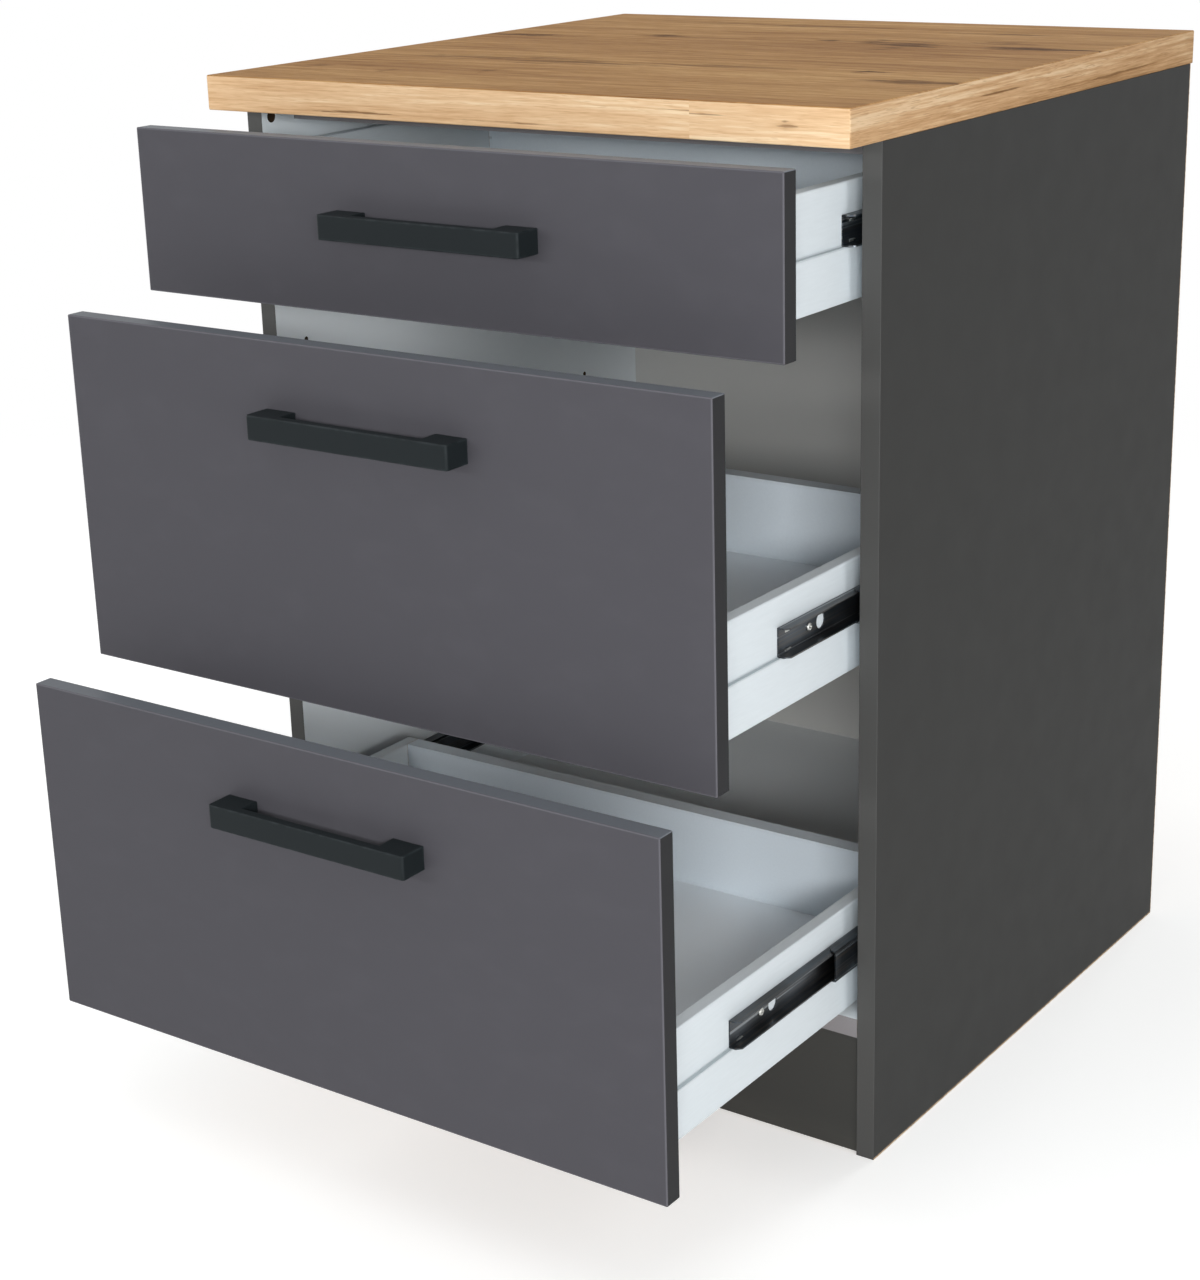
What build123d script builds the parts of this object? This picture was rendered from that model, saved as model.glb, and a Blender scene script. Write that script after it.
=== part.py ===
"""Kitchen base cabinet: a 600 mm unit with a worktop and three drawers on telescopic runners.

The origin is on the floor under the middle of the carcass, +Z is up and the fronts face -Y.
All sizes are millimetres. The drawers stand pulled out by the lengths in PULLED_OUT.
"""

import os

from build123d import *

# Carcass
WIDTH = 600.0
BOARD = 16.0
PLINTH_HEIGHT = 105.0
PLINTH_LIFT = 2.0
PLINTH_SETBACK = 2.0
TOP_RAIL_WIDTH = 100.0
TOP_RAIL_SETBACK = 40.0
BACK_THICKNESS = 3.0
BACK_INSET = 9.0
BACK_GROOVE_DEPTH = 6.0
EDGE_ROUND = 0.6

# Worktop
WORKTOP_THICKNESS = 28.0
WORKTOP_DEPTH = 600.0
WORKTOP_OVERHANG = 45.0
WORKTOP_REAR = 5.0
WORKTOP_ROUND = 1.2

# Drawer fronts
FRONT_THICKNESS = 16.0
SHALLOW_FRONT = 130.0
DEEP_FRONT = 280.0
FRONT_REVEAL = 2.0
FRONT_GAP = 3.5
FRONT_TOP_GAP = 4.0
FRONT_LOW_GAP = 2.0
FRONT_STANDOFF = 2.0
FRONT_ROUND = 0.8

# Drawer boxes
PULLED_OUT = {"bottom": 274.0, "middle": 203.0, "top": 112.0}
BOX_RISE = 18.0
BOX_HEIGHT = 86.0
BOX_LENGTH = 400.0
SIDE_THICKNESS = 12.0
SIDE_STEP = 3.0
STEP_HEIGHT = 40.0
SIDE_ROUND = 1.5
BOX_BACK_THICKNESS = 16.0
BASE_THICKNESS = 3.0
BASE_RISE = 15.0
BASE_GROOVE_DEPTH = 6.0

# Handles
HANDLE_CENTRES = 160.0
HANDLE_LEG = 28.0
HANDLE_HEIGHT = 19.0
HANDLE_PROJECTION = 24.0
HANDLE_BAR = 8.0
HANDLE_DROP = 61.0
HANDLE_CORNER = 2.5
HANDLE_ROUND = 0.9

# Runners
RUNNER_LENGTH = 285.0
RAIL_START = 113.0
RAIL_STEEL = 1.2
RAIL_BEND = 1.0
DRAWER_RAIL_HEIGHT = 23.0
SLIDE_SPACE = 13.0
RAIL_CLEARANCE = 0.4
HEAD_SPACE = 3.0
TIP_CLEARANCE = 1.0
CABINET_FLANGE = 10.0
RAIL_NOSE = 4.0
RAIL_HOLE_DIAMETER = 12.0
RAIL_HOLE_OFFSET = 60.0
FIRST_SCREW_OFFSET = 43.0
LAST_SCREW_OFFSET = 30.0

# Fasteners
DOWEL_DIAMETER = 8.0
DOWEL_LENGTH = 30.0
DOWEL_IN_BOARD = 10.0
DOWEL_IN_SIDE = 8.0
CAM_DIAMETER = 15.0
CAM_HEIGHT = 12.5
CAM_REACH = 24.0
CAM_SLOT = 2.0
CAM_BOLT_DIAMETER = 6.0
CAM_BOLT_IN_BOARD = 10.0
RUNNER_SCREW_DIAMETER = 3.5
RUNNER_SCREW_LENGTH = 11.0
RUNNER_HEAD_DIAMETER = 6.4
RUNNER_HEAD_HEIGHT = 1.6
SCREW_DIAMETER = 4.0
SCREW_HEAD_DIAMETER = 8.0
SCREW_HEAD_HEIGHT = 2.4
WORKTOP_SCREW_BITE = 15.0
HANDLE_SCREW_BITE = 9.0
RECESS_DIAMETER = 2.2
RECESS_DEPTH = 1.0
HOLE_PLAY = 0.2
PANEL_PLAY = 0.2
SPARE_HOLE_DIAMETER = 5.0
SPARE_HOLE_DEPTH = 10.0
SPARE_FRONT_INSET = 37.0
SPARE_FRONT_RISE = 144.0
SPARE_REAR_INSET = 103.0
SPARE_REAR_RISE = 32.0
TOP_HOLE_DIAMETER = 10.0
TOP_HOLE_INSET = 12.0
TOP_HOLE_DROP = 11.0
PILOT_DIAMETER = 3.0
PILOT_OFFSET = 189.0

# Carcass levels and planes: the worktop hangs over the carcass in front and behind
CARCASS_DEPTH = WORKTOP_DEPTH - WORKTOP_OVERHANG - WORKTOP_REAR
FRONT_LOW = PLINTH_HEIGHT + FRONT_LOW_GAP
CARCASS_HEIGHT = FRONT_LOW + 2 * DEEP_FRONT + SHALLOW_FRONT + 2 * FRONT_GAP + FRONT_TOP_GAP
FRONT_EDGE = -CARCASS_DEPTH / 2
REAR_EDGE = CARCASS_DEPTH / 2
BACK_FACE = REAR_EDGE - BACK_INSET - BACK_THICKNESS
INNER = WIDTH / 2 - BOARD
BOTTOM_LEVEL = PLINTH_HEIGHT
TOP_RAIL_LEVEL = CARCASS_HEIGHT - BOARD
CLOSED_PLANE = FRONT_EDGE - FRONT_STANDOFF

# Drawer levels, from the floor up, and widths
FRONT_HEIGHTS = {"bottom": DEEP_FRONT, "middle": DEEP_FRONT, "top": SHALLOW_FRONT}
FRONT_LEVELS = {"bottom": FRONT_LOW}
FRONT_LEVELS["middle"] = FRONT_LEVELS["bottom"] + DEEP_FRONT + FRONT_GAP
FRONT_LEVELS["top"] = FRONT_LEVELS["middle"] + DEEP_FRONT + FRONT_GAP
BOX_LEVELS = {name: level + BOX_RISE for name, level in FRONT_LEVELS.items()}
BOX_OUTER = INNER - SLIDE_SPACE
BOX_RECESS = BOX_OUTER - SIDE_STEP
BOX_INNER = BOX_RECESS - SIDE_THICKNESS
BACK_LOW = BASE_RISE + BASE_THICKNESS

# Runner profile, measured outwards from the middle of the cabinet and from the rail's middle line
MIDDLE_WEB = INNER - RAIL_STEEL - HEAD_SPACE
DRAWER_RAIL_TIP = MIDDLE_WEB - RAIL_STEEL - TIP_CLEARANCE
MIDDLE_RAIL_TIP = BOX_OUTER + TIP_CLEARANCE
CABINET_RAIL_TIP = INNER - CABINET_FLANGE
MIDDLE_RAIL_HEIGHT = DRAWER_RAIL_HEIGHT + 2 * (RAIL_CLEARANCE + RAIL_STEEL)
CABINET_RAIL_HEIGHT = MIDDLE_RAIL_HEIGHT + 2 * (RAIL_CLEARANCE + RAIL_STEEL)
RAIL_LINE = STEP_HEIGHT + DRAWER_RAIL_HEIGHT / 2
CLOSED_RAIL = CLOSED_PLANE + RAIL_START
SCREW_OFFSETS = (FIRST_SCREW_OFFSET, RUNNER_LENGTH - LAST_SCREW_OFFSET)

# Joint places of the carcass: cam fittings and dowels along the depth of each board
CAM_INSET = 50.0
DOWEL_STEP = 40.0
BOTTOM_CAMS = (FRONT_EDGE + CAM_INSET, BACK_FACE - CAM_INSET)
BOTTOM_DOWELS = (FRONT_EDGE + CAM_INSET + DOWEL_STEP, BACK_FACE - CAM_INSET - DOWEL_STEP)
RAIL_ENDS = {
    "front": (FRONT_EDGE + TOP_RAIL_SETBACK, FRONT_EDGE + TOP_RAIL_SETBACK + TOP_RAIL_WIDTH),
    "rear": (BACK_FACE - TOP_RAIL_WIDTH, BACK_FACE),
}
RAIL_CAM_SHARE = 0.35
RAIL_DOWEL_SHARE = 0.75
PLINTH_FACE = FRONT_EDGE + PLINTH_SETBACK
PLINTH_DOWEL = (PLINTH_FACE + BOARD / 2, (PLINTH_LIFT + PLINTH_HEIGHT) / 2)
WORKTOP_SCREW_SPAN = 200.0

SIDES = {"left": -1, "right": 1}
UP = (0, 0, 1)
DOWN = (0, 0, -1)
INWARD = (0, 1, 0)


def block(corner, opposite, mode=Mode.ADD):
    """Adds or cuts a box between two opposite corners."""
    middle = tuple((a + b) / 2 for a, b in zip(corner, opposite))
    size = (abs(a - b) for a, b in zip(corner, opposite))
    with Locations(middle):
        Box(*size, mode=mode)


def drill(point, direction, diameter, depth):
    """Drills a blind hole into a face whose outward normal is direction."""
    with Locations(Plane(origin=point, z_dir=direction)):
        Hole(diameter / 2 + HOLE_PLAY / 2, depth)


def peg(point, direction, diameter, length):
    """Adds a round peg that runs from point along direction."""
    with Locations(Plane(origin=point, z_dir=direction)):
        Cylinder(diameter / 2, length, align=(Align.CENTER, Align.CENTER, Align.MIN))


def screw(point, direction, diameter, length, head_diameter, head_height):
    """Adds a pan head screw: its head stands on the face at point, whose outward normal is direction."""
    with Locations(Plane(origin=point, z_dir=direction)):
        Cylinder(head_diameter / 2, head_height, align=(Align.CENTER, Align.CENTER, Align.MIN))
        Cylinder(diameter / 2, length, align=(Align.CENTER, Align.CENTER, Align.MAX))
    top = Vector(point) + Vector(direction) * head_height
    with Locations(Plane(origin=top, z_dir=direction)):
        Hole(RECESS_DIAMETER / 2, RECESS_DEPTH)


def save(piece, node):
    """Labels a finished piece and writes it."""
    piece.part.label = node
    export_step(piece.part, f"parts/{node}.step")


def rail_cam_place(ends):
    """Gives the depth of a top rail's cam fitting."""
    return ends[0] + RAIL_CAM_SHARE * TOP_RAIL_WIDTH


def rail_dowel_place(ends):
    """Gives the depth of a top rail's dowel."""
    return ends[0] + RAIL_DOWEL_SHARE * TOP_RAIL_WIDTH


def cam_places():
    """Lists the depth and level of the cam fittings at one end of the boards."""
    bottom = [(y, BOTTOM_LEVEL) for y in BOTTOM_CAMS]
    return bottom + [(rail_cam_place(ends), TOP_RAIL_LEVEL) for ends in RAIL_ENDS.values()]


def dowel_places():
    """Lists the depth and height of the dowels at one end of the boards."""
    bottom = [(y, BOTTOM_LEVEL + BOARD / 2) for y in BOTTOM_DOWELS]
    rails = [(rail_dowel_place(ends), TOP_RAIL_LEVEL + BOARD / 2) for ends in RAIL_ENDS.values()]
    return bottom + rails + [PLINTH_DOWEL]


def runner_level(drawer):
    """Gives the height of a runner's middle line."""
    return BOX_LEVELS[drawer] + RAIL_LINE


def spare_places():
    """Lists the depth and height of the spare holes in each side, off the middle runner's line."""
    line = runner_level("middle")
    return [(FRONT_EDGE + SPARE_FRONT_INSET, line + SPARE_FRONT_RISE),
            (REAR_EDGE - SPARE_REAR_INSET, line + SPARE_REAR_RISE)]


def drawer_plane(drawer):
    """Gives the depth of the plane where a drawer's box meets its front."""
    return CLOSED_PLANE - PULLED_OUT[drawer]


def make_side_panel(hand, s):
    """Full height side: grooved for the back, drilled for fittings, dowels and runner screws."""
    with BuildPart() as panel:
        block((s * INNER, FRONT_EDGE, 0), (s * WIDTH / 2, REAR_EDGE, CARCASS_HEIGHT))
        fillet(panel.edges().filter_by(Axis.Z).group_by(Axis.Y)[0], EDGE_ROUND)
        groove_low = BACK_FACE - PANEL_PLAY
        groove_high = BACK_FACE + BACK_THICKNESS + PANEL_PLAY
        groove_floor = s * (INNER + BACK_GROOVE_DEPTH)
        block((s * INNER, groove_low, 0), (groove_floor, groove_high, CARCASS_HEIGHT), Mode.SUBTRACT)
        for y, level in cam_places():
            drill((s * INNER, y, level + BOARD / 2), (-s, 0, 0), CAM_BOLT_DIAMETER, CAM_BOLT_IN_BOARD)
        for y, z in dowel_places():
            drill((s * INNER, y, z), (-s, 0, 0), DOWEL_DIAMETER, DOWEL_IN_BOARD)
        for drawer in BOX_LEVELS:
            z = runner_level(drawer)
            for offset in SCREW_OFFSETS:
                place = (s * INNER, CLOSED_RAIL + offset, z)
                drill(place, (-s, 0, 0), RUNNER_SCREW_DIAMETER, RUNNER_SCREW_LENGTH)
        for y, z in spare_places():
            drill((s * INNER, y, z), (-s, 0, 0), SPARE_HOLE_DIAMETER, SPARE_HOLE_DEPTH)
        top_hole = (s * INNER, FRONT_EDGE + TOP_HOLE_INSET, CARCASS_HEIGHT - TOP_HOLE_DROP)
        drill(top_hole, (-s, 0, 0), TOP_HOLE_DIAMETER, SPARE_HOLE_DEPTH)
    save(panel, f"side_panel_{hand}")


def cut_end_joints(cams, dowels, level):
    """Cuts the cam pockets, bolt holes and dowel holes into both ends of a lying board."""
    for s in SIDES.values():
        for y in cams:
            drill((s * (INNER - CAM_REACH), y, level), DOWN, CAM_DIAMETER, CAM_HEIGHT)
            drill((s * INNER, y, level + BOARD / 2), (s, 0, 0), CAM_BOLT_DIAMETER, CAM_REACH)
        for y in dowels:
            drill((s * INNER, y, level + BOARD / 2), (s, 0, 0), DOWEL_DIAMETER, DOWEL_LENGTH - DOWEL_IN_BOARD)


def make_bottom_panel():
    """Board between the sides that closes the carcass below the drawers."""
    with BuildPart() as panel:
        block((-INNER, FRONT_EDGE, BOTTOM_LEVEL), (INNER, BACK_FACE, BOTTOM_LEVEL + BOARD))
        cut_end_joints(BOTTOM_CAMS, BOTTOM_DOWELS, BOTTOM_LEVEL)
    save(panel, "bottom_panel")


def make_top_rail(place, ends):
    """Flat rail between the sides, with two holes for the worktop's screws."""
    with BuildPart() as rail:
        block((-INNER, ends[0], TOP_RAIL_LEVEL), (INNER, ends[1], CARCASS_HEIGHT))
        cut_end_joints([rail_cam_place(ends)], [rail_dowel_place(ends)], TOP_RAIL_LEVEL)
        for s in SIDES.values():
            drill((s * WORKTOP_SCREW_SPAN, sum(ends) / 2, TOP_RAIL_LEVEL), DOWN, SCREW_DIAMETER, BOARD)
    save(rail, f"top_rail_{place}")


def make_back_panel():
    """Hardboard that slides into the grooves of both sides."""
    reach = INNER + BACK_GROOVE_DEPTH - PANEL_PLAY
    with BuildPart() as panel:
        block((-reach, BACK_FACE, BOTTOM_LEVEL), (reach, BACK_FACE + BACK_THICKNESS, CARCASS_HEIGHT))
    save(panel, "back_panel")


def make_plinth():
    """Toe board between the sides, clear of the floor."""
    with BuildPart() as board:
        block((-INNER, PLINTH_FACE, PLINTH_LIFT), (INNER, PLINTH_FACE + BOARD, PLINTH_HEIGHT))
        for s in SIDES.values():
            drill((s * INNER, *PLINTH_DOWEL), (s, 0, 0), DOWEL_DIAMETER, DOWEL_LENGTH - DOWEL_IN_BOARD)
    save(board, "plinth")


def make_worktop():
    """Worktop with softly broken edges and pilot holes for its screws."""
    front = FRONT_EDGE - WORKTOP_OVERHANG
    with BuildPart() as top:
        block((-WIDTH / 2, front, CARCASS_HEIGHT),
              (WIDTH / 2, front + WORKTOP_DEPTH, CARCASS_HEIGHT + WORKTOP_THICKNESS))
        fillet(top.edges(), WORKTOP_ROUND)
        for ends in RAIL_ENDS.values():
            for s in SIDES.values():
                place = (s * WORKTOP_SCREW_SPAN, sum(ends) / 2, CARCASS_HEIGHT)
                drill(place, DOWN, SCREW_DIAMETER, WORKTOP_SCREW_BITE)
    save(top, "worktop")


def make_carcass_fittings():
    """Cams, their bolts, dowels and the worktop's screws, each kind in one group."""
    bolt_length = CAM_BOLT_IN_BOARD + CAM_REACH
    with BuildPart() as bolts:
        for s in SIDES.values():
            for y, level in cam_places():
                start = (s * (INNER + CAM_BOLT_IN_BOARD), y, level + BOARD / 2)
                peg(start, (-s, 0, 0), CAM_BOLT_DIAMETER, bolt_length)
    save(bolts, "carcass_cam_bolts")
    with BuildPart() as cams:
        for s in SIDES.values():
            for y, level in cam_places():
                centre = (s * (INNER - CAM_REACH), y, level)
                peg(centre, UP, CAM_DIAMETER, CAM_HEIGHT)
                drill((centre[0] + s * CAM_DIAMETER, y, level + BOARD / 2), (s, 0, 0),
                      CAM_BOLT_DIAMETER, CAM_DIAMETER)
                with Locations((centre[0], y, level)):
                    Box(CAM_DIAMETER / 2, CAM_SLOT, CAM_SLOT, mode=Mode.SUBTRACT)
    save(cams, "carcass_cams")
    with BuildPart() as dowels:
        for s in SIDES.values():
            for y, z in dowel_places():
                peg((s * (INNER + DOWEL_IN_BOARD), y, z), (-s, 0, 0), DOWEL_DIAMETER, DOWEL_LENGTH)
    save(dowels, "carcass_dowels")
    with BuildPart() as screws:
        for ends in RAIL_ENDS.values():
            for s in SIDES.values():
                place = (s * WORKTOP_SCREW_SPAN, sum(ends) / 2, TOP_RAIL_LEVEL)
                screw(place, DOWN, SCREW_DIAMETER, BOARD + WORKTOP_SCREW_BITE,
                      SCREW_HEAD_DIAMETER, SCREW_HEAD_HEIGHT)
    save(screws, "worktop_screws")


def make_rail(node, s, start, level, web, tip, height, screw_holes):
    """C-shaped steel rail: web at the first width, flanges that end at the second, rounded bends, cut nose."""
    inner_web = web + RAIL_STEEL if tip > web else web - RAIL_STEEL
    half = height / 2
    lip = half - RAIL_STEEL
    section = Plane(origin=(0, start, level), x_dir=(s, 0, 0), z_dir=(0, -s, 0))
    with BuildPart() as rail:
        with BuildSketch(section):
            with BuildLine():
                Polyline((web, -half), (tip, -half), (tip, -lip), (inner_web, -lip),
                         (inner_web, lip), (tip, lip), (tip, half), (web, half), close=True)
            make_face()
        extrude(amount=RUNNER_LENGTH, dir=INWARD)
        bends = rail.edges().filter_by(Axis.Y)
        fillet(bends.filter_by(lambda edge: abs(edge.center().X - s * web) < RAIL_STEEL / 2), RAIL_BEND)
        corners = rail.edges().filter_by(Axis.Z).group_by(Axis.Y)[0]
        corners = corners.filter_by(lambda edge: abs(edge.center().X - s * tip) < RAIL_STEEL / 2)
        chamfer(corners, RAIL_NOSE)
        face = s * max(web, inner_web)
        drill((face, start + RAIL_HOLE_OFFSET, level), (s, 0, 0), RAIL_HOLE_DIAMETER, 2 * RAIL_STEEL)
        if screw_holes:
            for offset in SCREW_OFFSETS:
                drill((face, start + offset, level), (s, 0, 0), RUNNER_SCREW_DIAMETER, 2 * RAIL_STEEL)
    save(rail, node)


def make_runner(drawer):
    """Three nested rails on each side: cabinet, middle and drawer rail."""
    level = runner_level(drawer)
    drawer_start = drawer_plane(drawer) + RAIL_START
    middle_start = CLOSED_RAIL - PULLED_OUT[drawer] / 2
    for hand, s in SIDES.items():
        make_rail(f"{drawer}_runner_cabinet_rail_{hand}", s, CLOSED_RAIL, level,
                  INNER, CABINET_RAIL_TIP, CABINET_RAIL_HEIGHT, True)
        make_rail(f"{drawer}_runner_middle_rail_{hand}", s, middle_start, level,
                  MIDDLE_WEB, MIDDLE_RAIL_TIP, MIDDLE_RAIL_HEIGHT, False)
        make_rail(f"{drawer}_drawer_rail_{hand}", s, drawer_start, level,
                  BOX_RECESS, DRAWER_RAIL_TIP, DRAWER_RAIL_HEIGHT, True)
    with BuildPart() as screws:
        for s in SIDES.values():
            for offset in SCREW_OFFSETS:
                place = (s * (BOX_RECESS + RAIL_STEEL), drawer_start + offset, level)
                screw(place, (s, 0, 0), RUNNER_SCREW_DIAMETER, RUNNER_SCREW_LENGTH,
                      RUNNER_HEAD_DIAMETER, RUNNER_HEAD_HEIGHT)
    save(screws, f"{drawer}_drawer_rail_screws")


def make_runner_screws():
    """Screws that hold the cabinet rails to the sides."""
    with BuildPart() as screws:
        for s in SIDES.values():
            for drawer in BOX_LEVELS:
                for offset in SCREW_OFFSETS:
                    place = (s * (INNER - RAIL_STEEL), CLOSED_RAIL + offset, runner_level(drawer))
                    screw(place, (-s, 0, 0), RUNNER_SCREW_DIAMETER, RUNNER_SCREW_LENGTH,
                          RUNNER_HEAD_DIAMETER, RUNNER_HEAD_HEIGHT)
    save(screws, "runner_screws")


def handle_level(drawer):
    """Gives the height of a handle's middle line."""
    return FRONT_LEVELS[drawer] + FRONT_HEIGHTS[drawer] - HANDLE_DROP


def front_dowel_places(drawer):
    """Lists width and height of the dowels between a drawer's front and its sides."""
    low = BOX_LEVELS[drawer] + (BACK_LOW + STEP_HEIGHT) / 2
    high = BOX_LEVELS[drawer] + (STEP_HEIGHT + DRAWER_RAIL_HEIGHT + BOX_HEIGHT) / 2
    across = (BOX_INNER + BOX_RECESS) / 2
    return [(s * across, z) for s in SIDES.values() for z in (low, high)]


def back_dowel_levels(drawer):
    """Lists the heights of the dowels between a drawer's back and its sides."""
    quarter = (BOX_HEIGHT - BACK_LOW) / 4
    low = BOX_LEVELS[drawer] + BACK_LOW + quarter
    return (low, low + 2 * quarter)


def make_front(drawer):
    """Drawer front with broken edges, a groove for the base, dowel holes and handle holes."""
    plane = drawer_plane(drawer)
    low = FRONT_LEVELS[drawer]
    half = WIDTH / 2 - FRONT_REVEAL
    base = BOX_LEVELS[drawer] + BASE_RISE
    groove_half = BOX_INNER + BASE_GROOVE_DEPTH
    with BuildPart() as front:
        block((-half, plane - FRONT_THICKNESS, low), (half, plane, low + FRONT_HEIGHTS[drawer]))
        fillet(front.edges(), FRONT_ROUND)
        block((-groove_half, plane - BASE_GROOVE_DEPTH, base - PANEL_PLAY),
              (groove_half, plane, base + BASE_THICKNESS + PANEL_PLAY), Mode.SUBTRACT)
        for x, z in front_dowel_places(drawer):
            drill((x, plane, z), INWARD, DOWEL_DIAMETER, DOWEL_IN_BOARD)
        for s in SIDES.values():
            place = (s * HANDLE_CENTRES / 2, plane, handle_level(drawer))
            drill(place, INWARD, SCREW_DIAMETER, FRONT_THICKNESS)
    save(front, f"{drawer}_drawer_front")


def make_box_side(drawer, hand, s):
    """Stepped side of a drawer box: the runner lies on the step, the base in a groove inside."""
    plane = drawer_plane(drawer)
    level = BOX_LEVELS[drawer]
    section = Plane(origin=(0, plane, level), x_dir=(s, 0, 0), z_dir=(0, -s, 0))
    with BuildPart() as side:
        with BuildSketch(section):
            with BuildLine():
                Polyline((BOX_INNER, 0), (BOX_OUTER, 0), (BOX_OUTER, STEP_HEIGHT),
                         (BOX_RECESS, STEP_HEIGHT), (BOX_RECESS, BOX_HEIGHT), (BOX_INNER, BOX_HEIGHT),
                         close=True)
            make_face()
        extrude(amount=BOX_LENGTH, dir=INWARD)
        fillet(side.edges().filter_by(Axis.Y).group_by(Axis.Z)[-1], SIDE_ROUND)
        groove = BOX_INNER + BASE_GROOVE_DEPTH
        block((s * BOX_INNER, plane, level + BASE_RISE - PANEL_PLAY),
              (s * groove, plane + BOX_LENGTH, level + BACK_LOW + PANEL_PLAY), Mode.SUBTRACT)
        for x, z in front_dowel_places(drawer):
            if x * s > 0:
                drill((x, plane, z), (0, -1, 0), DOWEL_DIAMETER, DOWEL_LENGTH - DOWEL_IN_BOARD)
        for z in back_dowel_levels(drawer):
            place = (s * BOX_INNER, plane + BOX_LENGTH - BOX_BACK_THICKNESS / 2, z)
            drill(place, (-s, 0, 0), DOWEL_DIAMETER, DOWEL_IN_SIDE)
        for offset in SCREW_OFFSETS:
            place = (s * BOX_RECESS, plane + RAIL_START + offset, level + RAIL_LINE)
            drill(place, (s, 0, 0), RUNNER_SCREW_DIAMETER, RUNNER_SCREW_LENGTH)
        pilot = (s * BOX_RECESS, plane + RAIL_START + PILOT_OFFSET, level + RAIL_LINE)
        drill(pilot, (s, 0, 0), PILOT_DIAMETER, 2 * SIDE_THICKNESS)
    save(side, f"{drawer}_drawer_side_{hand}")


def make_box_back(drawer):
    """Back of a drawer box: stands on the base between the sides."""
    rear = drawer_plane(drawer) + BOX_LENGTH
    level = BOX_LEVELS[drawer]
    with BuildPart() as back:
        block((-BOX_INNER, rear - BOX_BACK_THICKNESS, level + BACK_LOW),
              (BOX_INNER, rear, level + BOX_HEIGHT))
        for s in SIDES.values():
            for z in back_dowel_levels(drawer):
                place = (s * BOX_INNER, rear - BOX_BACK_THICKNESS / 2, z)
                drill(place, (s, 0, 0), DOWEL_DIAMETER, DOWEL_LENGTH - DOWEL_IN_SIDE)
    save(back, f"{drawer}_drawer_back")


def make_box_base(drawer):
    """Base of a drawer box: a thin panel in the grooves of front and sides."""
    plane = drawer_plane(drawer)
    reach = BASE_GROOVE_DEPTH - PANEL_PLAY
    low = BOX_LEVELS[drawer] + BASE_RISE
    with BuildPart() as base:
        block((-BOX_INNER - reach, plane - reach, low),
              (BOX_INNER + reach, plane + BOX_LENGTH, low + BASE_THICKNESS))
    save(base, f"{drawer}_drawer_base")


def make_box_dowels(drawer):
    """Glued dowels between the front, the sides and the back of a drawer box."""
    plane = drawer_plane(drawer)
    depth = plane + BOX_LENGTH - BOX_BACK_THICKNESS / 2
    with BuildPart() as dowels:
        for x, z in front_dowel_places(drawer):
            peg((x, plane - DOWEL_IN_BOARD, z), INWARD, DOWEL_DIAMETER, DOWEL_LENGTH)
        for s in SIDES.values():
            for z in back_dowel_levels(drawer):
                peg((s * (BOX_INNER + DOWEL_IN_SIDE), depth, z), (-s, 0, 0), DOWEL_DIAMETER, DOWEL_LENGTH)
    save(dowels, f"{drawer}_drawer_dowels")


def make_handle(drawer):
    """Bow handle: a flat bar on two square legs, all edges eased, with its two screws."""
    seat = drawer_plane(drawer) - FRONT_THICKNESS
    level = handle_level(drawer)
    gap = HANDLE_PROJECTION - HANDLE_BAR
    with BuildPart() as handle:
        with BuildSketch(Plane.XY.offset(level - HANDLE_HEIGHT / 2)):
            with Locations((0, seat - HANDLE_PROJECTION / 2)):
                Rectangle(HANDLE_CENTRES + HANDLE_LEG, HANDLE_PROJECTION)
            with Locations((0, seat - gap / 2)):
                Rectangle(HANDLE_CENTRES - HANDLE_LEG, gap, mode=Mode.SUBTRACT)
        extrude(amount=HANDLE_HEIGHT)
        fillet(handle.edges().filter_by(Axis.Z).group_by(Axis.Y)[0], HANDLE_CORNER)
        rims = handle.faces().filter_by(Axis.Z).edges()
        fillet(rims, HANDLE_ROUND)
        for s in SIDES.values():
            place = (s * HANDLE_CENTRES / 2, seat, level)
            drill(place, INWARD, SCREW_DIAMETER, HANDLE_SCREW_BITE)
    save(handle, f"{drawer}_drawer_handle")
    with BuildPart() as screws:
        for s in SIDES.values():
            place = (s * HANDLE_CENTRES / 2, seat + FRONT_THICKNESS, level)
            screw(place, INWARD, SCREW_DIAMETER, FRONT_THICKNESS + HANDLE_SCREW_BITE,
                  SCREW_HEAD_DIAMETER, SCREW_HEAD_HEIGHT)
    save(screws, f"{drawer}_drawer_handle_screws")


def make_drawer(drawer):
    """One drawer with its box, front, handle and runner."""
    make_front(drawer)
    make_handle(drawer)
    for hand, s in SIDES.items():
        make_box_side(drawer, hand, s)
    make_box_back(drawer)
    make_box_base(drawer)
    make_box_dowels(drawer)
    make_runner(drawer)


os.makedirs("parts", exist_ok=True)
for hand, s in SIDES.items():
    make_side_panel(hand, s)
make_bottom_panel()
for place, ends in RAIL_ENDS.items():
    make_top_rail(place, ends)
make_back_panel()
make_plinth()
make_worktop()
make_carcass_fittings()
make_runner_screws()
for drawer in BOX_LEVELS:
    make_drawer(drawer)
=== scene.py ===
"""Looks of the kitchen base cabinet: finishes for its boards, rails and handles, detailed screws, cams
and stop lugs, a pale floor, soft lights and the photograph's viewing angle.

Lengths are metres. The origin is on the floor under the carcass, the drawer fronts face -Y.
"""

import math

import bpy
import numpy as np
from mathutils import Matrix, Vector


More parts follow.
